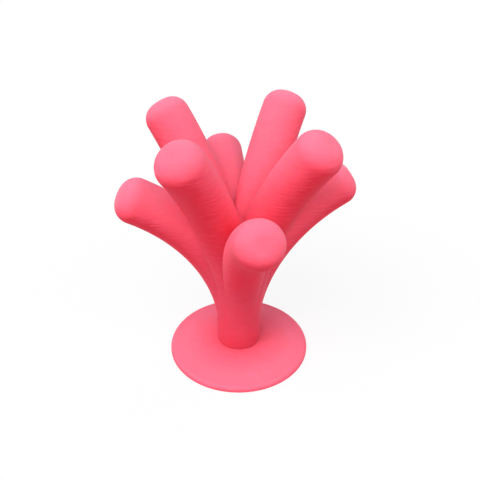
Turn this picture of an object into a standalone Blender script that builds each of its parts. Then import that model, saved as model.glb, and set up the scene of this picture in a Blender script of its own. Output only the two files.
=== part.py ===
"""Ring display stand: eight round branches that rise from one trunk, on a low round foot.

Four steep branches stand on the diagonals. Four shallow ones lie lower, along the X and Y axes.
All eight are the same tube: it bends outward from the trunk along one arc, runs straight at its
end and has a rounded tip. Near the trunk they run into each other and leave creases between them.

The stand has two pieces. The branch tree carries a keyed peg under its foot, and the base disc
has the matching socket, which fixes the tree's height and its bearing.

Units are metres, +Z is up, and the origin is the middle of the disc's underside.
"""
import math

import bmesh
import bpy
from mathutils import Matrix, Vector

# Branches: one round tube for all eight
BRANCH_DIAMETER = 0.015
TIP_FILLET = 0.0055
BRANCHES_PER_TIER = 4

# Steep tier: where the bend starts above the foot, its radius and lean, and the straight end run.
# This bend starts just under the foot, so the steep branches spread from the foot on.
STEEP_BEND_START = -0.001
STEEP_BEND_RADIUS = 0.133
STEEP_LEAN_DEG = 37.5
STEEP_STRAIGHT_RUN = 0.00625

# Shallow tier, the same four sizes
SHALLOW_BEND_START = 0.0046
SHALLOW_BEND_RADIUS = 0.064
SHALLOW_LEAN_DEG = 60.0
SHALLOW_STRAIGHT_RUN = 0.007

# The shallow tier's first branch points along -Y, and the steep tier stands between them
FIRST_BEARING_DEG = -90.0

# Trunk: round and a little fatter than a branch, narrower at its foot. It ends inside the branches,
# where the shallow ones have leaned out by the cover lean.
TRUNK_SHOULDER = 0.0004
TRUNK_FOOT_SHOULDER = 0.0001
TRUNK_TAPER_HEIGHT = 0.006
TRUNK_COVER_LEAN = 0.0006
BRANCH_ROOT_HEIGHT = 0.001

# Base disc: a straight rim, a round shoulder and a crown that climbs to the trunk's seat
DISC_DIAMETER = 0.051
DISC_RIM_HEIGHT = 0.0006
DISC_SHOULDER_RADIUS = 0.0015
DISC_CROWN_HEIGHT = 0.0036
DISC_UNDERSIDE_CHAMFER = 0.0003
DISC_SEAT_MARGIN = 0.0006

# Keyed peg under the trunk, in a socket in the disc
PEG_DIAMETER = 0.009
PEG_FLAT_DEPTH = 0.0012
PEG_OVERLAP = 0.002
SOCKET_DEPTH = 0.0026
JOINT_CLEARANCE = 0.0003

# Facets: a bend's chords stay within the sagitta of its arc
BRANCH_SIDES = 32
BEND_SAGITTA = 0.00006
FILLET_STEPS = 5
SHOULDER_STEPS = 5
DISC_STEPS = 96
SMOOTH_ANGLE_DEG = 35.0

# Coral pink plastic, linear colour
CORAL_PINK = (0.95, 0.155, 0.245, 1.0)
PLASTIC_ROUGHNESS = 0.55

PARTS_NAME = "ring_display_stand"
CUTTERS_NAME = "cutters"


def clear_scene():
    for obj in list(bpy.data.objects):
        bpy.data.objects.remove(obj, do_unlink=True)


def new_collection(name):
    collection = bpy.data.collections.new(name)
    bpy.context.scene.collection.children.link(collection)
    return collection


def add_object(name, mesh, collection):
    obj = bpy.data.objects.new(name, mesh)
    collection.objects.link(obj)
    return obj


def as_cutter(obj):
    obj.hide_render = True
    obj.display_type = "WIRE"


def plastic(name):
    material = bpy.data.materials.new(name)
    material.use_nodes = True
    shader = material.node_tree.nodes["Principled BSDF"]
    shader.inputs["Base Color"].default_value = CORAL_PINK
    shader.inputs["Roughness"].default_value = PLASTIC_ROUGHNESS
    shader.inputs["Metallic"].default_value = 0.0
    material.diffuse_color = CORAL_PINK
    return material


def evaluated_mesh(obj):
    """The object's mesh with its modifiers, or its curve as a closed mesh."""
    depsgraph = bpy.context.evaluated_depsgraph_get()
    mesh = bpy.data.meshes.new_from_object(obj.evaluated_get(depsgraph))
    bm = bmesh.new()
    bm.from_mesh(mesh)
    bmesh.ops.remove_doubles(bm, verts=bm.verts, dist=0.000001)
    bmesh.ops.recalc_face_normals(bm, faces=bm.faces)
    bm.to_mesh(mesh)
    bm.free()
    return mesh


def add_boolean(obj, operation, other):
    modifier = obj.modifiers.new(other.name, "BOOLEAN")
    modifier.operation = operation
    modifier.solver = "EXACT"
    modifier.object = other


def finish_piece(obj, material):
    """Apply the piece's modifiers, shade it smooth apart from its edges, and give it its material."""
    mesh = evaluated_mesh(obj)
    obj.modifiers.clear()
    obj.data = mesh
    mesh.name = obj.name
    mesh.materials.clear()
    mesh.materials.append(material)
    mesh.shade_smooth()
    mesh.set_sharp_from_angle(angle=math.radians(SMOOTH_ANGLE_DEG))


def branch_route(bend_start, bend_radius, lean_deg, straight_run):
    """Points (outward, up, tube radius) of a branch: upright, one arc, straight, rounded tip.

    A bend that starts under the root has no upright run, and its arc begins at the root's height.
    """
    tube_radius = BRANCH_DIAMETER / 2
    fillet = min(TIP_FILLET, tube_radius)
    lean = math.radians(lean_deg)
    route = []
    if bend_start > BRANCH_ROOT_HEIGHT:
        route.append((0.0, BRANCH_ROOT_HEIGHT, tube_radius))
    below_root = max(BRANCH_ROOT_HEIGHT - bend_start, 0.0)
    first = math.asin(below_root / bend_radius)
    chord_angle = 2 * math.acos(1 - BEND_SAGITTA / bend_radius)
    steps = math.ceil((lean - first) / chord_angle)
    for step in range(steps + 1):
        angle = first + (lean - first) * step / steps
        outward = bend_radius * (1 - math.cos(angle))
        up = bend_start + bend_radius * math.sin(angle)
        route.append((outward, up, tube_radius))
    bend_end = route[-1]
    for step in range(FILLET_STEPS + 1):
        angle = math.pi / 2 * step / FILLET_STEPS
        along = straight_run - fillet + fillet * math.sin(angle)
        radius = tube_radius - fillet + fillet * math.cos(angle)
        outward = bend_end[0] + along * math.sin(lean)
        up = bend_end[1] + along * math.cos(lean)
        route.append((outward, up, radius))
    return route


def branch_solid(name, route, bearing_deg, facet_turn, collection):
    """A tube along the route, leaning toward the bearing, its facets turned about the tube."""
    tube_radius = BRANCH_DIAMETER / 2
    curve = bpy.data.curves.new(name, "CURVE")
    curve.dimensions = "3D"
    curve.bevel_depth = tube_radius
    curve.bevel_resolution = (BRANCH_SIDES - 4) // 2
    curve.use_fill_caps = True
    curve.twist_mode = "MINIMUM"
    spline = curve.splines.new("POLY")
    spline.points.add(len(route) - 1)
    for point, (outward, up, radius) in zip(spline.points, route):
        point.co = (outward, 0.0, up, 1.0)
        point.radius = radius / tube_radius
        point.tilt = facet_turn
    drawn = add_object(name, curve, collection)
    solid = add_object(name + "_solid", evaluated_mesh(drawn), collection)
    solid.rotation_euler = (0.0, 0.0, math.radians(bearing_deg))
    bpy.data.objects.remove(drawn, do_unlink=True)
    as_cutter(solid)
    return solid


def keyed_cylinder(name, diameter, flat_at, low, high, collection):
    """A round peg from low to high with one flat, which faces -Y at the distance flat_at."""
    bm = bmesh.new()
    middle = Matrix.Translation((0.0, 0.0, (low + high) / 2))
    bmesh.ops.create_cone(bm, cap_ends=True, segments=BRANCH_SIDES * 2, radius1=diameter / 2,
                          radius2=diameter / 2, depth=high - low, matrix=middle)
    geometry = bm.verts[:] + bm.edges[:] + bm.faces[:]
    bmesh.ops.bisect_plane(bm, geom=geometry, plane_co=Vector((0.0, -flat_at, 0.0)),
                           plane_no=Vector((0.0, -1.0, 0.0)), clear_outer=True)
    open_edges = [edge for edge in bm.edges if edge.is_boundary]
    bmesh.ops.holes_fill(bm, edges=open_edges)
    mesh = bpy.data.meshes.new(name)
    bm.to_mesh(mesh)
    bm.free()
    obj = add_object(name, mesh, collection)
    as_cutter(obj)
    return obj


def turned(name, profile, steps, collection):
    """A solid of revolution about Z. The profile at +X runs down its outer side, top to bottom."""
    mesh = bpy.data.meshes.new(name)
    verts = [(radius, 0.0, height) for radius, height in profile]
    edges = [(index, index + 1) for index in range(len(profile) - 1)]
    mesh.from_pydata(verts, edges, [])
    obj = add_object(name, mesh, collection)
    screw = obj.modifiers.new("turn", "SCREW")
    screw.steps = steps
    screw.render_steps = steps
    screw.use_merge_vertices = True
    screw.merge_threshold = 0.00001
    return obj


def trunk_foot_radius():
    return BRANCH_DIAMETER / 2 + TRUNK_FOOT_SHOULDER


def trunk_profile():
    """Half section of the trunk, from its hidden top out and down to the foot."""
    radius = BRANCH_DIAMETER / 2 + TRUNK_SHOULDER
    height = SHALLOW_BEND_START + math.sqrt(2 * SHALLOW_BEND_RADIUS * TRUNK_COVER_LEAN)
    return [(0.0, height), (radius, height), (radius, TRUNK_TAPER_HEIGHT),
            (trunk_foot_radius(), 0.0), (0.0, 0.0)]


def make_branch_tree(parts, cutters):
    """Trunk, eight branches and keyed peg as one printed piece, built upward from its foot."""
    tree = turned("branch_tree", trunk_profile(), BRANCH_SIDES * 2, parts)
    helpers = []
    shallow = branch_route(SHALLOW_BEND_START, SHALLOW_BEND_RADIUS, SHALLOW_LEAN_DEG,
                           SHALLOW_STRAIGHT_RUN)
    steep = branch_route(STEEP_BEND_START, STEEP_BEND_RADIUS, STEEP_LEAN_DEG, STEEP_STRAIGHT_RUN)
    spacing = 360.0 / BRANCHES_PER_TIER
    facet = math.tau / BRANCH_SIDES
    # The steep branches join first: in this order the unions stay closed at other sizes too
    for index in range(BRANCHES_PER_TIER):
        bearing = FIRST_BEARING_DEG + (index + 0.5) * spacing
        turn = facet / 4
        helpers.append(branch_solid(f"steep_{index + 1}", steep, bearing, turn, cutters))
    for index in range(BRANCHES_PER_TIER):
        bearing = FIRST_BEARING_DEG + index * spacing
        turn = facet / 2 * (index % 2)
        helpers.append(branch_solid(f"shallow_{index + 1}", shallow, bearing, turn, cutters))
    peg_flat = PEG_DIAMETER / 2 - PEG_FLAT_DEPTH
    helpers.append(keyed_cylinder("peg", PEG_DIAMETER, peg_flat, -SOCKET_DEPTH, PEG_OVERLAP,
                                  cutters))
    for helper in helpers:
        add_boolean(tree, "UNION", helper)
    finish_piece(tree, plastic("coral_branch_tree"))
    for helper in helpers:
        bpy.data.objects.remove(helper, do_unlink=True)
    tree.location = (0.0, 0.0, DISC_CROWN_HEIGHT + JOINT_CLEARANCE)
    return tree


def disc_profile():
    """Half section of the disc, from the top of its seat out and down to the underside.

    The crown is the straight line from the seat's edge that touches the round shoulder.
    """
    rim_radius = DISC_DIAMETER / 2
    shoulder = DISC_SHOULDER_RADIUS
    seat_radius = trunk_foot_radius() + DISC_SEAT_MARGIN
    shoulder_middle = rim_radius - shoulder
    run = shoulder_middle - seat_radius
    drop = DISC_CROWN_HEIGHT - DISC_RIM_HEIGHT
    crown_slope = math.atan2(drop, run) - math.asin(shoulder / math.hypot(run, drop))
    profile = [(0.0, DISC_CROWN_HEIGHT), (seat_radius, DISC_CROWN_HEIGHT)]
    for step in range(SHOULDER_STEPS + 1):
        angle = crown_slope + (math.pi / 2 - crown_slope) * step / SHOULDER_STEPS
        outward = shoulder_middle + shoulder * math.sin(angle)
        up = DISC_RIM_HEIGHT + shoulder * math.cos(angle)
        profile.append((outward, up))
    profile.append((rim_radius, DISC_UNDERSIDE_CHAMFER))
    profile.append((rim_radius - DISC_UNDERSIDE_CHAMFER, 0.0))
    profile.append((0.0, 0.0))
    return profile


def make_base_disc(parts, cutters):
    disc = turned("base_disc", disc_profile(), DISC_STEPS, parts)
    socket_low = DISC_CROWN_HEIGHT - SOCKET_DEPTH
    flat_at = PEG_DIAMETER / 2 - PEG_FLAT_DEPTH + JOINT_CLEARANCE
    socket = keyed_cylinder("socket", PEG_DIAMETER + 2 * JOINT_CLEARANCE, flat_at, socket_low,
                            DISC_CROWN_HEIGHT + PEG_OVERLAP, cutters)
    add_boolean(disc, "DIFFERENCE", socket)
    finish_piece(disc, plastic("coral_base_disc"))
    return disc


def main():
    clear_scene()
    parts = new_collection(PARTS_NAME)
    cutters = new_collection(CUTTERS_NAME)
    make_base_disc(parts, cutters)
    make_branch_tree(parts, cutters)


main()
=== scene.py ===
"""Ring display stand: its finished surfaces, its coral plastic and a plain photo studio.

The stand is two pieces. The branch tree is one skin: a trunk and eight round branches, which
spread along one arc each, run straight and end in a rounded tip. The base disc is turned about
the upright axis. Units are metres, +Z is up, and the origin is the middle of the underside.
"""

import math

import bmesh
import bpy
import numpy as np
from bpy.props import FloatProperty, FloatVectorProperty, IntProperty, PointerProperty
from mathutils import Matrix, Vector


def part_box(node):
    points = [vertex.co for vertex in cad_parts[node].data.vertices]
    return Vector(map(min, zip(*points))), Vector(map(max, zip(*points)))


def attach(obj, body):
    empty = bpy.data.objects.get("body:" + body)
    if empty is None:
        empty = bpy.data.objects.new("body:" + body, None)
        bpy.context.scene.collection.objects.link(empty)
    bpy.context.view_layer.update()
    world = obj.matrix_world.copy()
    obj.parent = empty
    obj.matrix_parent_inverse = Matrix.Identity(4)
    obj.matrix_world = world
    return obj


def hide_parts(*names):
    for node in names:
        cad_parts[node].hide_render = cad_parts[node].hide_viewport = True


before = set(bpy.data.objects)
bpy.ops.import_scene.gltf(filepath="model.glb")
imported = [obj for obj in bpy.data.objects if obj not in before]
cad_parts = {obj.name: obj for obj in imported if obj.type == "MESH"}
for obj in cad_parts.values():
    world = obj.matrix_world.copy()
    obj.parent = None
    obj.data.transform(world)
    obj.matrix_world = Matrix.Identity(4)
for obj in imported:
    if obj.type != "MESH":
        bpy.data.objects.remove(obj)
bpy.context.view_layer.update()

bl_info = {
    "name": "Ring display stand",
    "version": (1, 0, 0),
    "blender": (4, 5, 0),
    "location": "3D View > Sidebar > Ring stand",
    "description": "Builds the surfaces, the coral plastic and the studio of a ring display stand",
    "category": "Object",
}

BRANCHES_PER_TIER = 4
FIRST_BEARING_DEG = -90.0
DISC_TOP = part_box("base_disc")[1].z
DISC_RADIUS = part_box("base_disc")[1].y
PEG_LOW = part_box("branch_tree")[0].z
CREASE_DEG = 28.0
TIP_MARK = "near_tip"


# Sizes and colours that a user may change

def length(name, description, default, low=0.0):
    return FloatProperty(name=name, description=description, default=default, unit="LENGTH",
                         subtype="DISTANCE", precision=5, min=low)


def angle(name, description, default_deg):
    return FloatProperty(name=name, description=description, default=math.radians(default_deg),
                         unit="ROTATION", subtype="ANGLE")


def colour(name, description, default):
    return FloatVectorProperty(name=name, description=description, default=default, size=3,
                               subtype="COLOR", min=0.0, max=1.0)


def factor(name, description, default, high=1.0):
    return FloatProperty(name=name, description=description, default=default, subtype="FACTOR",
                         min=0.0, max=high)


class BranchSizes(bpy.types.PropertyGroup):
    """Sizes of the trunk and of the two tiers of branches"""
    diameter: length("Branch diameter", "Thickness of every branch", 0.015)
    tip_fillet: length("Tip fillet", "Radius of the round edge of each tip", 0.0055)
    foot_height: length("Foot height", "Where the trunk's foot stands", DISC_TOP + 0.0003)
    steep_start: length("Steep bend start", "Height of the bend above the foot", -0.001, -0.01)
    steep_radius: length("Steep bend radius", "Radius of the steep branches' arc", 0.133)
    steep_lean: angle("Steep lean", "Angle from upright at the steep tips", 37.5)
    steep_run: length("Steep straight run", "Straight length that ends in the tip", 0.00625)
    shallow_start: length("Shallow bend start", "Height of the bend above the foot", 0.0046, -0.01)
    shallow_radius: length("Shallow bend radius", "Radius of the shallow branches' arc", 0.064)
    shallow_lean: angle("Shallow lean", "Angle from upright at the shallow tips", 60.0)
    shallow_run: length("Shallow straight run", "Straight length that ends in the tip", 0.007)
    trunk_shoulder: length("Trunk shoulder", "How far the trunk stands past a branch", 0.0004)
    foot_shoulder: length("Foot shoulder", "The same at the trunk's foot", 0.0001)
    taper_height: length("Taper height", "Height over which the trunk swells", 0.006)
    trunk_height: length("Trunk height", "Hidden top of the trunk, above its foot", 0.01336)
    peg_diameter: length("Peg diameter", "Thickness of the keyed peg", 0.009)
    peg_flat: length("Peg flat", "Depth of the flat that keys the peg", 0.0012)
    sides: IntProperty(name="Sides", description="Facets round a branch", default=80, min=12)
    step: length("Ring step", "Distance between two rings along a branch", 0.0011)


class DiscSizes(bpy.types.PropertyGroup):
    """Sizes of the base disc"""
    radius: length("Radius", "Radius of the rim", DISC_RADIUS)
    top: length("Crown height", "Height of the seat under the trunk", DISC_TOP)
    rim_height: length("Rim height", "Height of the straight rim", 0.0006)
    shoulder: length("Shoulder radius", "Radius of the round edge over the rim", 0.0015)
    chamfer: length("Underside chamfer", "Chamfer of the lower edge", 0.0003)
    seat_radius: length("Seat radius", "Radius of the level seat under the trunk", 0.0082)
    socket_diameter: length("Socket diameter", "Width of the keyed socket", 0.0096)
    socket_flat: length("Socket flat", "Distance of the socket's flat from the axis", 0.0036)
    socket_floor: length("Socket floor", "Height of the socket's floor", DISC_TOP - 0.0026)
    sides: IntProperty(name="Sides", description="Facets round the disc", default=240, min=24)


class PlasticFinish(bpy.types.PropertyGroup):
    """Colour and surface of the printed plastic"""
    # Pale coral is painted light on faces that look up; deep coral is painted shade on faces that
    # look down
    painted_light_coral: colour("Pale coral", "Colour of faces that look up", (1.0, 0.213, 0.322))
    coral: colour("Coral", "Colour of faces that lean out", (1.0, 0.135, 0.212))
    painted_shade_coral: colour("Deep coral", "Colour of the rough overhangs", (0.69, 0.033, 0.064))
    # Painted shade on the undersides of the tips
    tip_underside_shade_coral: colour("Droop coral", "Colour mixed into the undersides of the tips",
                        (0.42, 0.02, 0.04))
    # Painted shade on the trunk, under the branches
    stem_shade_coral: colour("Stem coral", "Colour mixed into the trunk", (0.58, 0.052, 0.092))
    roughness: factor("Roughness", "Roughness of a smooth face", 0.52)
    specular: factor("Specular level", "Strength of the surface reflection", 0.06)
    translucency: factor("Translucency", "Share of the light that passes under the skin", 0.8)
    disc_translucency: factor("Disc translucency", "The same share in the thin disc", 0.15)
    glow_depth: length("Glow depth", "How far red light travels under the skin", 0.005)
    tip_reach: length("Tip reach", "How far from its tip a branch keeps nearer to one tone", 0.008)
    layer: length("Layer height", "Height of one print layer", 0.0002)
    band: length("Band height", "Height of an irregular band of layers", 0.0006)
    relief: length("Layer relief", "Depth of the print lines", 0.000006)


class StudioSettings(bpy.types.PropertyGroup):
    """Camera, lamps and floor"""
    ambient: factor("Ambient", "Level of the light from all round", 0.10, high=2.0)
    key: factor("Key light", "Level of the soft lamp at the front left", 0.65, high=2.0)
    front: factor("Front light", "Level of the soft lamp in front", 0.25, high=2.0)
    side: factor("Side light", "Level of the low soft lamp at the left", 0.24, high=2.0)
    fill: factor("Fill light", "Level of the low soft lamp at the front right", 0.26, high=2.0)
    back: factor("Back light", "Level of the two soft lamps at the back", 0.07, high=2.0)
    rim: factor("Rim light", "Level of the low soft lamp at the right", 0.10, high=2.0)
    softness: angle("Softness", "Width of each soft lamp in the sky", 45.0)
    floor_white: factor("Floor white", "Share of the floor's white that shadows leave", 0.85)
    lens: FloatProperty(name="Lens", description="Focal length in millimetres", default=45.817,
                        min=1.0, unit="CAMERA")


# Shader maths

# Sockets of the Mix node that a name alone wouldn't find
MIX_AMOUNT = 0
MIX_LOW_COLOUR = 6
MIX_HIGH_COLOUR = 7
MIX_RESULT_COLOUR = 2


class Value:
    """A socket of a shader, on which the usual operators add Math nodes."""

    def __init__(self, shader, socket):
        self.shader = shader
        self.socket = socket

    def __add__(self, other):
        return self.shader.maths("ADD", self, other)

    def __radd__(self, other):
        return self.shader.maths("ADD", other, self)

    def __sub__(self, other):
        return self.shader.maths("SUBTRACT", self, other)

    def __rsub__(self, other):
        return self.shader.maths("SUBTRACT", other, self)

    def __mul__(self, other):
        return self.shader.maths("MULTIPLY", self, other)

    def __rmul__(self, other):
        return self.shader.maths("MULTIPLY", other, self)

    def sine(self):
        return self.shader.maths("SINE", self)

    def root(self):
        return self.shader.maths("SQRT", self)

    def slope(self, low, high):
        """0 at low and 1 at high, straight between and level beyond. Low may be the larger."""
        ends = {"Value": self, "From Min": low, "From Max": high}
        return self.shader.node("ShaderNodeMapRange", {}, ends)

    def between(self, low, high):
        """The same with a smooth climb."""
        ends = {"Value": self, "From Min": low, "From Max": high}
        return self.shader.node("ShaderNodeMapRange", {"interpolation_type": "SMOOTHSTEP"}, ends)

    def centred(self):
        """Noise about 0 in place of 0.5."""
        return self - 0.5

    def beside(self, output):
        """Another output of the node that this value comes from."""
        return Value(self.shader, self.socket.node.outputs[output])


class Shader:
    """The nodes of one material or world."""

    def __init__(self, owner):
        owner.use_nodes = True
        self.tree = owner.node_tree

    def node(self, kind, settings=None, sockets=None, output=0):
        """Adds a node: its settings first, then the value or link of each socket named."""
        made = self.tree.nodes.new(kind)
        for name, setting in (settings or {}).items():
            setattr(made, name, setting)
        self.fill(made, sockets or {})
        return Value(self, made.outputs[output])

    def fill(self, made, sockets):
        """Links each socket named to its value, or sets it."""
        for name, value in sockets.items():
            if isinstance(value, Value):
                self.tree.links.new(value.socket, made.inputs[name])
            else:
                made.inputs[name].default_value = value

    def maths(self, operation, *values):
        """A Math node on the values, which are sockets or numbers."""
        return self.node("ShaderNodeMath", {"operation": operation}, dict(enumerate(values)))

    def blend(self, amount, low, high):
        """The colour low where amount is 0 and high where it is 1."""
        settings = {"data_type": "RGBA", "blend_type": "MIX"}
        sockets = {MIX_AMOUNT: amount, MIX_LOW_COLOUR: rgba(low), MIX_HIGH_COLOUR: rgba(high)}
        return self.node("ShaderNodeMix", settings, sockets, output=MIX_RESULT_COLOUR)

    def noise(self, spot, size, detail):
        """Noise about 0.5 whose blotches are about size metres wide."""
        sockets = {"Vector": spot, "Scale": 1.0 / size, "Detail": detail}
        return self.node("ShaderNodeTexNoise", {"noise_dimensions": "3D"}, sockets)

    def stripes(self, distance, size, detail):
        """The same along one distance only."""
        sockets = {"W": distance, "Scale": 1.0 / size, "Detail": detail}
        return self.node("ShaderNodeTexNoise", {"noise_dimensions": "1D"}, sockets)


def rgba(value):
    return value if isinstance(value, Value) else (*value, 1.0)


# Surfaces

# Hidden laps: how far above the foot a branch begins, and how far the peg reaches into the trunk
ROOT_RISE = 0.001
PEG_LAP = 0.002

# The small bevel under the trunk, and how finely each curve is divided
FOOT_BEVEL = 0.00015
TAPER_STEP = 0.1
FILLET_ROWS = 14
TIP_FLAT_SHARES = (0.66, 0.33, 0.0)
SHOULDER_ROWS = 16
CROWN_ROWS = 12

# The rows of the peg and of the socket that are their walls
KEYED_ROWS = (1, 2)

# What is too small to matter: a sine, and lengths in the joined mesh
LEAST_SINE = 1e-6
MERGE_DISTANCE = 2e-6
SLIVER_LENGTH = 1e-6


def closed_mesh(name, rings):
    """Mesh of a grid of points that closes at two poles.

    Row r, column c of rings is a point. The first and the last row are one point each, the poles.
    Each column joins the next, and the last joins the first. Faces are turned to point outward.
    """
    rows, columns = rings.shape[:2]
    points = np.vstack((rings[0, :1], rings[1:-1].reshape(-1, 3), rings[-1, :1]))
    here = np.arange(columns)
    beside = (here + 1) % columns
    row = 1 + columns * np.arange(rows - 3)[:, None]
    quads = np.stack((row + here, row + beside, row + columns + beside, row + columns + here), -1)
    quads = quads.reshape(-1, 4)
    low_fan = np.stack((beside + 1, here + 1, np.zeros_like(here)), -1)
    top = 1 + columns * (rows - 3)
    high_fan = np.stack((top + here, top + beside, np.full_like(here, len(points) - 1)), -1)
    faces = quads.tolist() + low_fan.tolist() + high_fan.tolist()
    triangles = np.vstack((quads[:, :3], quads[:, [0, 2, 3]], low_fan, high_fan))
    a, b, c = (points[triangles[:, i]] for i in range(3))
    inside_out = np.einsum("ij,ij->i", a, np.cross(b, c)).sum() < 0
    if inside_out:
        faces = [face[::-1] for face in faces]
    mesh = bpy.data.meshes.new(name)
    mesh.from_pydata(points.tolist(), [], faces)
    mesh.update()
    return mesh


def add_object(name, data):
    obj = bpy.data.objects.new(name, data)
    bpy.context.scene.collection.objects.link(obj)
    return obj


def steps(low, high, size):
    """Even values from low to high, no further apart than size."""
    return np.linspace(low, high, max(2, math.ceil(abs(high - low) / size) + 1))


def branch_line(sizes, start, bend_radius, lean, run):
    """Centre line and thickness of a branch, as columns (outward, up, lean angle, radius).

    Upright from the root to the bend's start, then outward = R (1 - cos a) and
    up = start + R sin a for the angle a up to the lean, then straight on at the lean. A bend that
    starts under the root has no upright run, and a begins where the arc passes the root. Over the
    last fillet's length the radius shrinks as r - f + f cos t while the line goes on by f sin t,
    for t from 0 to a quarter turn, and the flat of the tip closes to its middle.
    """
    radius = sizes.diameter / 2
    fillet = sizes.tip_fillet
    upright = steps(ROOT_RISE, max(start, ROOT_RISE), sizes.step)[:-1]
    upright = upright[upright < start]
    first = math.asin(max(ROOT_RISE - start, 0.0) / bend_radius)
    bend = steps(first, lean, sizes.step / bend_radius)
    straight = steps(0.0, run - fillet, sizes.step)[1:]
    turn = np.linspace(0.0, math.pi / 2, FILLET_ROWS)[1:]
    along = np.concatenate((straight, run - fillet + fillet * np.sin(turn)))
    barrel = np.full(len(upright) + len(bend) + len(straight), radius)
    thick = np.concatenate((barrel, radius - fillet + fillet * np.cos(turn)))
    end_out = bend_radius * (1 - math.cos(lean))
    end_up = start + bend_radius * math.sin(lean)
    outward = np.concatenate((0 * upright, bend_radius * (1 - np.cos(bend)),
                              end_out + along * math.sin(lean)))
    up = np.concatenate((upright, start + bend_radius * np.sin(bend),
                         end_up + along * math.cos(lean)))
    leaning = np.concatenate((0 * upright, bend, np.full(len(along), lean)))
    line = np.stack((outward, up, leaning, thick), -1)
    root = line[0] * (1, 1, 1, 0)
    cap = np.repeat(line[-1:], len(TIP_FLAT_SHARES), axis=0)
    cap[:, 3] = (radius - fillet) * np.array(TIP_FLAT_SHARES)
    return np.vstack((root, line, cap))


def tube(line, sides, bearing, foot):
    """Skin round a line that leans in one upright plane.

    Point(u, v) = centre(u) + radius(u) (cos v * n(u) + sin v * s). n is the normal of the line in
    its plane, (cos lean, -sin lean), and s is level and square to the plane. The whole is turned
    about the upright axis to the bearing and lifted to the foot.
    """
    outward, up, lean, radius = (line[:, [i]] for i in range(4))
    v = (np.arange(sides) + 0.5) * math.tau / sides
    reach = radius * np.cos(v)
    across = radius * np.sin(v)
    out = outward + reach * np.cos(lean)
    height = foot + up - reach * np.sin(lean)
    x = out * math.cos(bearing) - across * math.sin(bearing)
    y = out * math.sin(bearing) + across * math.cos(bearing)
    return np.stack((x, y, height), -1)


def keyed_radius(v, radius, flat_at):
    """Distance from the axis to a round wall with one flat towards -Y, at the bearing v.

    It is the smaller of the radius and flat_at / -sin v. Where -sin v isn't positive, the wall
    faces away from the flat, and a least sine keeps it round.
    """
    towards = np.maximum(-np.sin(v), LEAST_SINE)
    return np.minimum(radius, flat_at / towards)


def turned(profile, sides, keyed_rows=(), flat_at=0.0):
    """Skin turned about the upright axis: Point(u, v) = (r cos v, r sin v, height(u)).

    r is the profile's radius, and at the keyed rows it is the keyed radius of that size.
    """
    v = np.arange(sides) * math.tau / sides
    radius = np.repeat(profile[:, [0]], sides, axis=1)
    for row in keyed_rows:
        radius[row] = keyed_radius(v, profile[row, 0], flat_at)
    height = np.repeat(profile[:, [1]], sides, axis=1)
    return np.stack((radius * np.cos(v), radius * np.sin(v), height), -1)


def trunk_skin(sizes):
    """Skin of the trunk's core, whose foot tapers to the disc.

    At the share s of the taper's height, from 0 to 1, the radius is
    foot radius + (trunk radius - foot radius) sin(s pi / 2).
    """
    foot = sizes.foot_height
    top = foot + sizes.trunk_height
    trunk_radius = sizes.diameter / 2 + sizes.trunk_shoulder
    foot_radius = sizes.diameter / 2 + sizes.foot_shoulder
    share = steps(0.0, 1.0, TAPER_STEP)
    flank = np.stack((foot_radius + (trunk_radius - foot_radius) * np.sin(share * math.pi / 2),
                      foot + FOOT_BEVEL + (sizes.taper_height - FOOT_BEVEL) * share), -1)
    profile = np.vstack(((0.0, foot), (foot_radius - FOOT_BEVEL, foot), flank,
                         (trunk_radius, top), (0.0, top)))
    return turned(profile, sizes.sides * 2)


def branch_skins(sizes):
    """Skins of the shallow branches, then of the steep ones half way between them."""
    shallow = branch_line(sizes, sizes.shallow_start, sizes.shallow_radius, sizes.shallow_lean,
                          sizes.shallow_run)
    steep = branch_line(sizes, sizes.steep_start, sizes.steep_radius, sizes.steep_lean,
                        sizes.steep_run)
    spacing = math.tau / BRANCHES_PER_TIER
    first = math.radians(FIRST_BEARING_DEG)
    return [tube(line, sizes.sides, first + (index + shift) * spacing, sizes.foot_height)
            for line, shift in ((shallow, 0.0), (steep, 0.5))
            for index in range(BRANCHES_PER_TIER)]


def peg_skin(sizes):
    """Skin of the peg: a turned bar whose wall has the flat."""
    radius = sizes.peg_diameter / 2
    top = sizes.foot_height + PEG_LAP
    profile = np.array([(0.0, PEG_LOW), (radius, PEG_LOW), (radius, top), (0.0, top)])
    return turned(profile, sizes.sides, KEYED_ROWS, radius - sizes.peg_flat)


def disc_skin(sizes):
    """Skin of the disc, from the socket's floor over the crown to the middle of the underside.

    The crown runs straight from the edge of the seat to where it just touches the shoulder. The
    shoulder is (m + s sin t, rim height + s cos t), where s is its radius, m is the disc's radius
    less s, and t runs from the crown's slope to a quarter turn.
    """
    shoulder = sizes.shoulder
    middle = sizes.radius - shoulder
    run = middle - sizes.seat_radius
    drop = sizes.top - sizes.rim_height
    slope = math.atan2(drop, run) - math.asin(shoulder / math.hypot(run, drop))
    turn = np.linspace(slope, math.pi / 2, SHOULDER_ROWS)
    round_edge = np.stack((middle + shoulder * np.sin(turn),
                           sizes.rim_height + shoulder * np.cos(turn)), -1)
    crown = np.linspace((sizes.seat_radius, sizes.top), round_edge[0], CROWN_ROWS)[:-1]
    rim = ((sizes.radius, sizes.chamfer), (sizes.radius - sizes.chamfer, 0.0), (0.0, 0.0))
    wall = sizes.socket_diameter / 2
    well = ((0.0, sizes.socket_floor), (wall, sizes.socket_floor), (wall, sizes.top))
    profile = np.vstack((well, crown, round_edge, rim))
    return turned(profile, sizes.sides, KEYED_ROWS, sizes.socket_flat)


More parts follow.
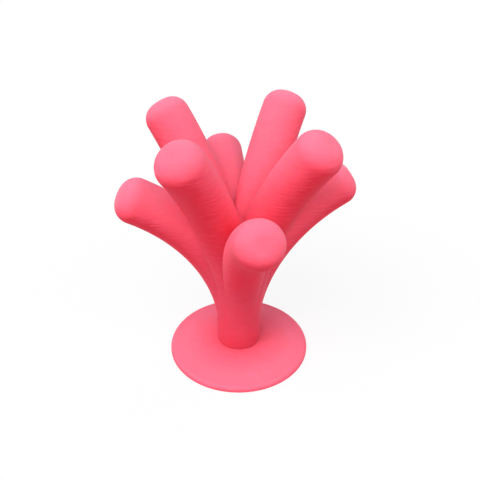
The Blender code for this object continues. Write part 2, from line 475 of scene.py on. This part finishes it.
def joined(name, meshes):
    """One closed mesh round all the meshes, by Boolean unions."""
    base = add_object(name, meshes[0])
    helpers = [add_object(f"{name}_{i}", mesh) for i, mesh in enumerate(meshes[1:])]
    for helper in helpers:
        union = base.modifiers.new(helper.name, "BOOLEAN")
        union.operation = "UNION"
        union.solver = "EXACT"
        union.object = helper
    depsgraph = bpy.context.evaluated_depsgraph_get()
    whole = bpy.data.meshes.new_from_object(base.evaluated_get(depsgraph))
    for obj in (base, *helpers):
        bpy.data.objects.remove(obj, do_unlink=True)
    for mesh in meshes:
        bpy.data.meshes.remove(mesh)
    whole.name = name
    return whole


def clean(mesh):
    """Merges the doubles of the unions, and stops the script if the mesh isn't closed."""
    bm = bmesh.new()
    bm.from_mesh(mesh)
    bmesh.ops.remove_doubles(bm, verts=bm.verts, dist=MERGE_DISTANCE)
    bmesh.ops.dissolve_degenerate(bm, edges=bm.edges, dist=SLIVER_LENGTH)
    bmesh.ops.triangulate(bm, faces=[face for face in bm.faces if len(face.verts) > 4])
    open_edges = sum(not edge.is_manifold for edge in bm.edges)
    bm.to_mesh(mesh)
    bm.free()
    if open_edges:
        raise RuntimeError(f"{mesh.name} has {open_edges} open edges")


def points_of(mesh):
    points = np.empty(len(mesh.vertices) * 3, np.float32)
    mesh.vertices.foreach_get("co", points)
    return points.reshape(-1, 3)


def inside_cad_box(mesh, node):
    """Keeps every point within the node's own box, which a finer curve passes by a hair."""
    low, high = (np.array(corner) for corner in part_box(node))
    mesh.vertices.foreach_set("co", np.clip(points_of(mesh), low, high).ravel())
    mesh.update()


def mark_tips(mesh, tips, reach):
    """Marks every point with 1 - d / reach, at least 0, where d is how far the nearest tip is."""
    away = np.linalg.norm(points_of(mesh)[:, None] - tips[None], axis=2).min(axis=1)
    mark = mesh.attributes.new(TIP_MARK, "FLOAT", "POINT")
    mark.data.foreach_set("value", np.maximum(1 - away / reach, 0.0).astype(np.float32))


def place(mesh, node, material):
    """Shades the skin smooth apart from its creases and puts it in the CAD node's place."""
    inside_cad_box(mesh, node)
    mesh.materials.clear()
    mesh.materials.append(material)
    mesh.shade_smooth()
    mesh.set_sharp_from_angle(angle=math.radians(CREASE_DEG))
    piece = add_object(node + "_skin", mesh)
    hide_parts(node)
    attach(piece, "root")


# Plastic

# Sizes of the patterns, in metres, and how the streaks are drawn out along the layers
DRIFT_SIZE = 0.009
DRIFT_RISE = 0.00012
PATCH_SIZE = 0.006
GRAIN_SIZE = 0.0005
STREAK_SIZE = 0.0007
STREAK_SCALE = (0.2, 0.2, 1.0)
BANDS_IN_A_GROUP = 4
TURNED_RING_PITCH = 0.00045
BROAD_RING_SIZE = 0.0016

# Where something begins and where it is full: facings are the height of the face's normal, noise
# runs from 0 to 1, and reaches from the axis and heights are in metres
OVERHANG_FACING = (0.05, -0.75)
LINE_FACING = (-0.3, 0.6)
TOP_FACING = (0.9, 0.99)
DROOP_AND_SHADE = (0.0, 0.2)
ROUGH_PATCH = (0.4, 0.65)
WORN_PATCH = (0.55, 0.8)
GROOVE = (0.5, 0.3)
RIDGE = (0.55, 0.75)
STEM_REACH = (0.018, 0.010)
STEM_HEIGHT = (0.060, 0.045)
STEM_FOOT_SHADE_HEIGHT = (0.024, 0.010)
HUB_SHADE_REACH = (0.020, 0.008)

# Depth of each pattern, in layer reliefs
BAND_DEPTH = 2.8
STREAK_DEPTH = 1.7
LAYER_DEPTH = 0.25
GRAIN_DEPTH = 0.5
TURNED_RING_DEPTH = 0.25
BROAD_RING_DEPTH = 3.0

# Strength of the bands and streaks on a plain face, what each place adds, and what the stem takes
PLAIN_STRENGTH = 0.4
OVERHANG_STRENGTH = 2.4
DROOP_STRENGTH = 1.2
PATCH_STRENGTH = 1.2
STEM_SMOOTHNESS = 0.7

# How far each pattern moves the tone, and how much the lines show on a face that leans out and
# away from the rough patches
WORN_TONE = 0.12
LINE_TONE = 0.08
LINE_SHOW_LEANING = 1.4
LINE_SHOW_PLAIN = 0.35
STREAK_TONE = 0.2
GROUP_TONE = 0.06

# The tree: how much painted shade deepens its stem's foot, the tone that the painted light and
# shade near its tips keep near to, and how near
STEM_FOOT_SHADE = 0.22
TIP_TONE = 0.22
TIP_EVENNESS = 0.4

# The disc: how much its painted light and shade by facing counts, and how much deeper it is, all
# over and, as painted shade, round the trunk
DISC_FACING_SHARE = 0.75
DISC_DROP = 0.12
HUB_SHADE = 0.57

# The tones at which coral, pale coral (painted light) and deep coral (painted shade) are pure, and
# the shares of the two painted-shade colours, under the tips and on the stem, that are mixed in
CORAL_TONE = 0.25
PALE_TONE = 0.9
DEEP_TONE = -0.4
TIP_SHADE_SHARE = 0.4
STEM_SHADE_SHARE = 0.55

# How far each pattern moves the roughness
PATCH_ROUGHNESS = 0.12
OVERHANG_ROUGHNESS = 0.08
GRAIN_ROUGHNESS = 0.06

# How far red, green and blue travel under the skin, against the glow depth
GLOW_REACH = (1.0, 0.12, 0.15)
PLASTIC_IOR = 1.46


class PrintAndShadeMarks:
    """Print marks on the plastic and masks of painted light and shade; each is a value over the
    surface.
    """

    def __init__(self, shader, finish):
        spot = shader.node("ShaderNodeTexCoord", output="Object")
        normal = spot.beside("Normal")
        x = shader.node("ShaderNodeSeparateXYZ", {}, {"Vector": spot})
        y = x.beside("Y")
        self.height = x.beside("Z")
        self.facing = shader.node("ShaderNodeSeparateXYZ", {}, {"Vector": normal}, output="Z")
        self.outward = (x * x + y * y).root()
        self.overhang = self.facing.between(*OVERHANG_FACING)
        # The stem mask smooths the print lines and places the painted shade on the trunk
        self.stem = self.outward.slope(*STEM_REACH) * self.height.slope(*STEM_HEIGHT)
        self.smooth = 1 - self.stem * STEM_SMOOTHNESS
        self.tip = shader.node("ShaderNodeAttribute", {"attribute_name": TIP_MARK}, output="Fac")
        # Where the tips face down: real print droop in the relief and painted shade in the colour
        self.droop_and_shade = (self.tip * self.overhang).slope(*DROOP_AND_SHADE)

        drift = shader.noise(spot, DRIFT_SIZE, detail=1.0)
        level = self.height + drift.centred() * DRIFT_RISE
        self.layers = (level * (math.tau / finish.layer)).sine()
        self.bands = shader.stripes(level, finish.band, detail=2.0)
        self.groups = shader.stripes(level, finish.band * BANDS_IN_A_GROUP, detail=1.0)
        self.patches = shader.noise(spot, PATCH_SIZE, detail=3.0)
        self.patchy = self.patches.between(*ROUGH_PATCH)
        self.grain = shader.noise(spot, GRAIN_SIZE, detail=2.0)
        drawn = shader.node("ShaderNodeVectorMath", {"operation": "MULTIPLY"},
                            {0: spot, 1: STREAK_SCALE})
        self.streaks = shader.noise(drawn, STREAK_SIZE, detail=2.0)


def print_height(marks):
    """Relief of the print: bands and streaks, strongest on overhangs, fine layers and grain."""
    strength = (PLAIN_STRENGTH + marks.overhang * OVERHANG_STRENGTH
                + marks.droop_and_shade * DROOP_STRENGTH + marks.patchy * PATCH_STRENGTH)
    coarse = marks.bands.centred() * BAND_DEPTH + marks.streaks.centred() * STREAK_DEPTH
    fine = marks.layers * LAYER_DEPTH + marks.grain.centred() * (GRAIN_DEPTH + marks.overhang)
    return coarse * strength * marks.smooth + fine


def turned_rings(shader, marks):
    """Relief of the rings on the disc's top, fine and even ones over broad ones."""
    rings = (marks.outward * (math.tau / TURNED_RING_PITCH)).sine() * TURNED_RING_DEPTH
    broad = shader.stripes(marks.outward, BROAD_RING_SIZE, detail=1.0).centred()
    return (rings + broad * BROAD_RING_DEPTH) * marks.facing.between(*TOP_FACING)


def painted_light_and_print_tone(marks):
    """Tone of the plastic: painted light and shade by its facing, from -1 to 1, moved a little by
    wear, lines and streaks.
    """
    line = marks.bands.between(*RIDGE) - marks.bands.between(*GROOVE)
    leaning = LINE_SHOW_LEANING - marks.facing.between(*LINE_FACING)
    lines = line * leaning * (LINE_SHOW_PLAIN + marks.patchy) * marks.smooth
    worn = marks.patches.between(*WORN_PATCH) * (1 - marks.overhang)
    blotch = marks.streaks.centred() * (1 + marks.overhang) * STREAK_TONE
    groups = marks.groups.centred() * GROUP_TONE
    # The facing paints light on faces that look up and shade on faces that look down
    return marks.facing + worn * WORN_TONE + lines * LINE_TONE + blotch - groups


def coral_colour(shader, finish, tone):
    """Painted-shade deep coral, coral and painted-light pale coral, blended one into the next as
    the tone climbs.
    """
    # Painted light towards pale coral, then painted shade towards deep coral
    upper = shader.blend(tone.slope(CORAL_TONE, PALE_TONE), finish.coral, finish.painted_light_coral)
    return shader.blend(tone.slope(CORAL_TONE, DEEP_TONE), upper, finish.painted_shade_coral)


def tree_colour(shader, finish, marks):
    """Colour of the tree: painted light and shade by facing, evener near its tips, painted shade
    under the tips, and painted shade on its stem.
    """
    stem_foot_shade = marks.stem * marks.height.slope(*STEM_FOOT_SHADE_HEIGHT)
    tone = painted_light_and_print_tone(marks)
    # Near the tips the painted light and shade is evened towards one tone, and painted shade
    # deepens the stem's foot
    tone = tone + (TIP_TONE - tone) * marks.tip * TIP_EVENNESS - stem_foot_shade * STEM_FOOT_SHADE
    body = coral_colour(shader, finish, tone)
    # Painted shade under the tips
    body = shader.blend(marks.droop_and_shade * TIP_SHADE_SHARE, body, finish.tip_underside_shade_coral)
    # Painted shade on the stem
    return shader.blend(marks.stem * STEM_SHADE_SHARE, body, finish.stem_shade_coral)


def disc_colour(shader, finish, marks):
    """Colour of the disc: its painted light and shade vary less with the facing, and painted shade
    deepens it round the trunk.
    """
    # Painted shade under the branches, round the trunk
    hub_shade = marks.outward.slope(*HUB_SHADE_REACH) * HUB_SHADE
    tone = painted_light_and_print_tone(marks) * DISC_FACING_SHARE - DISC_DROP - hub_shade
    return coral_colour(shader, finish, tone)


def coral_plastic(name, finish, translucency, is_disc):
    """Printed coral plastic: level print lines, rough overhangs, worn patches, fine grain and
    painted light and shade.
    """
    material = bpy.data.materials.new(name)
    shader = Shader(material)
    marks = PrintAndShadeMarks(shader, finish)
    height = print_height(marks)
    if is_disc:
        height = height + turned_rings(shader, marks)
        body = disc_colour(shader, finish, marks)
    else:
        body = tree_colour(shader, finish, marks)
    bump = shader.node("ShaderNodeBump", {}, {"Strength": 1.0, "Distance": finish.relief,
                                              "Height": height})
    rough = (finish.roughness + marks.patches.centred() * PATCH_ROUGHNESS
             + marks.overhang * OVERHANG_ROUGHNESS + marks.grain.centred() * GRAIN_ROUGHNESS)
    shader.fill(shader.tree.nodes["Principled BSDF"], {
        "Base Color": body,
        "Roughness": rough,
        "Normal": bump,
        "Metallic": 0.0,
        "IOR": PLASTIC_IOR,
        "Specular IOR Level": finish.specular,
        "Subsurface Weight": translucency,
        "Subsurface Radius": GLOW_REACH,
        "Subsurface Scale": finish.glow_depth,
    })
    material.diffuse_color = rgba(finish.coral)
    return material


# Studio

CAMERA_PLACE = (-0.0319, -0.17428, 0.15506)
CAMERA_TURN_DEG = (58.4475, 0.1653, -10.661)
CAMERA_SENSOR_MM = 36.0
CAMERA_NEAR = 0.01
CAMERA_FAR = 20.0

# Each lamp's name, the setting that holds its level, and its azimuth and elevation in degrees
LAMPS = (
    ("key", "key", -45.0, 50.0),
    ("front", "front", 0.0, 50.0),
    ("side", "side", -80.0, 22.0),
    ("fill", "fill", 48.0, 22.0),
    ("back_left", "back", 225.0, 50.0),
    ("back_right", "back", 135.0, 50.0),
    ("rim", "rim", 110.0, 15.0),
)

FLOOR_RADIUS = 3.0
FLOOR_SIDES = 96
FLOOR_DROP = 0.0001
FLOOR_TONE = 0.75
FLOOR_TONE_SEEN = 0.92
WHITE = (1.0, 1.0, 1.0, 1.0)


def soft_lamp(name, level, softness, azimuth_deg, elevation_deg):
    """A wide distant lamp. At level 1 it shows a face square to it in its written colour.

    Azimuth 0 is in front of the stand, on -Y, and 90 on +X.
    """
    lamp = bpy.data.lights.new(name, "SUN")
    lamp.energy = math.pi * level
    lamp.angle = softness
    azimuth = math.radians(azimuth_deg)
    elevation = math.radians(elevation_deg)
    away = Vector((math.sin(azimuth) * math.cos(elevation),
                   -math.cos(azimuth) * math.cos(elevation), math.sin(elevation)))
    source = add_object(name, lamp)
    source.location = away
    source.rotation_euler = away.to_track_quat("Z", "Y").to_euler()


def studio_camera(settings):
    camera = bpy.data.cameras.new("studio_camera")
    camera.sensor_width = CAMERA_SENSOR_MM
    camera.lens = settings.lens
    camera.clip_start = CAMERA_NEAR
    camera.clip_end = CAMERA_FAR
    eye = add_object("studio_camera", camera)
    eye.location = CAMERA_PLACE
    eye.rotation_euler = [math.radians(turn) for turn in CAMERA_TURN_DEG]
    return eye


def seen_rays(shader):
    """1 for a ray that shows the background to the camera, straight or in gloss or glass."""
    straight = shader.node("ShaderNodeLightPath", output="Is Camera Ray")
    in_gloss = straight.beside("Is Glossy Ray")
    in_glass = straight.beside("Is Transmission Ray")
    return (straight + in_gloss + in_glass).between(0.0, 1.0)


def white_floor(share):
    """Pale floor: for the camera that share of its white is its own, and the rest is lit."""
    material = bpy.data.materials.new("studio_floor")
    shader = Shader(material)
    shader.tree.nodes.remove(shader.tree.nodes["Principled BSDF"])
    seen = seen_rays(shader)
    tone = seen * (FLOOR_TONE_SEEN - FLOOR_TONE) + FLOOR_TONE
    lit = shader.node("ShaderNodeBsdfDiffuse", {}, {"Color": tone})
    glow = shader.node("ShaderNodeEmission", {}, {"Color": WHITE, "Strength": 1.0})
    mixed = shader.node("ShaderNodeMixShader", {}, {0: seen * share, 1: lit, 2: glow})
    shader.fill(shader.tree.nodes["Material Output"], {"Surface": mixed})
    return material


def studio_floor(settings):
    """A round floor a hair under the stand: edge point = R (cos v, sin v)."""
    v = np.linspace(0.0, math.tau, FLOOR_SIDES + 1)[:-1]
    edge = np.stack((np.cos(v), np.sin(v), 0 * v), -1) * FLOOR_RADIUS - (0.0, 0.0, FLOOR_DROP)
    mesh = bpy.data.meshes.new("studio_floor")
    mesh.from_pydata(edge.tolist(), [], [list(range(FLOOR_SIDES))])
    mesh.materials.append(white_floor(settings.floor_white))
    add_object("studio_floor", mesh)


def studio_world(settings):
    """White surroundings for the camera, and the ambient level for what they light."""
    world = bpy.data.worlds.new("studio_world")
    shader = Shader(world)
    level = seen_rays(shader) * (1.0 - settings.ambient) + settings.ambient
    shader.fill(shader.tree.nodes["Background"], {"Color": WHITE, "Strength": level})
    return world


# Operators

class RINGSTAND_OT_branch_tree(bpy.types.Operator):
    """Make the trunk and its eight branches as one skin"""
    bl_idname = "ringstand.branch_tree"
    bl_label = "Branch tree"

    def execute(self, context):
        sizes = context.scene.ring_stand_branches
        finish = context.scene.ring_stand_plastic
        branches = branch_skins(sizes)
        meshes = [closed_mesh("trunk", trunk_skin(sizes))]
        meshes += [closed_mesh("branch", skin) for skin in branches]
        meshes.append(closed_mesh("peg", peg_skin(sizes)))
        mesh = joined("branch_tree_skin", meshes)
        clean(mesh)
        tips = np.array([skin[-1, 0] for skin in branches])
        mark_tips(mesh, tips, finish.tip_reach)
        plastic = coral_plastic("coral_branch_tree", finish, finish.translucency, is_disc=False)
        place(mesh, "branch_tree", plastic)
        return {"FINISHED"}


class RINGSTAND_OT_base_disc(bpy.types.Operator):
    """Make the round foot with its keyed socket"""
    bl_idname = "ringstand.base_disc"
    bl_label = "Base disc"

    def execute(self, context):
        finish = context.scene.ring_stand_plastic
        mesh = closed_mesh("base_disc_skin", disc_skin(context.scene.ring_stand_disc))
        plastic = coral_plastic("coral_base_disc", finish, finish.disc_translucency, is_disc=True)
        place(mesh, "base_disc", plastic)
        return {"FINISHED"}


class RINGSTAND_OT_studio(bpy.types.Operator):
    """Make the camera, the soft lamps, the pale floor and the white surroundings"""
    bl_idname = "ringstand.studio"
    bl_label = "Studio"

    def execute(self, context):
        scene = context.scene
        settings = scene.ring_stand_studio
        scene.camera = studio_camera(settings)
        studio_floor(settings)
        for name, setting, azimuth, elevation in LAMPS:
            soft_lamp(name, getattr(settings, setting), settings.softness, azimuth, elevation)
        scene.world = studio_world(settings)
        scene.view_settings.view_transform = "Standard"
        return {"FINISHED"}


class RINGSTAND_PT_panel(bpy.types.Panel):
    """Lists the stand's pieces, the studio and their sizes"""
    bl_idname = "RINGSTAND_PT_panel"
    bl_label = "Ring display stand"
    bl_space_type = "VIEW_3D"
    bl_region_type = "UI"
    bl_category = "Ring stand"

    def draw(self, context):
        for operator in OPERATORS:
            self.layout.operator(operator.bl_idname)
        for name, group in GROUPS.items():
            box = self.layout.box()
            for entry in group.__annotations__:
                box.prop(getattr(context.scene, name), entry)


OPERATORS = (RINGSTAND_OT_base_disc, RINGSTAND_OT_branch_tree, RINGSTAND_OT_studio)
GROUPS = {
    "ring_stand_branches": BranchSizes,
    "ring_stand_disc": DiscSizes,
    "ring_stand_plastic": PlasticFinish,
    "ring_stand_studio": StudioSettings,
}
CLASSES = (*GROUPS.values(), *OPERATORS, RINGSTAND_PT_panel)


def register():
    for cls in CLASSES:
        bpy.utils.register_class(cls)
    for name, group in GROUPS.items():
        setattr(bpy.types.Scene, name, PointerProperty(type=group))


def unregister():
    for name in GROUPS:
        delattr(bpy.types.Scene, name)
    for cls in reversed(CLASSES):
        bpy.utils.unregister_class(cls)


def main():
    register()
    bpy.ops.ringstand.base_disc()
    bpy.ops.ringstand.branch_tree()
    bpy.ops.ringstand.studio()


if __name__ == "__main__":
    main()
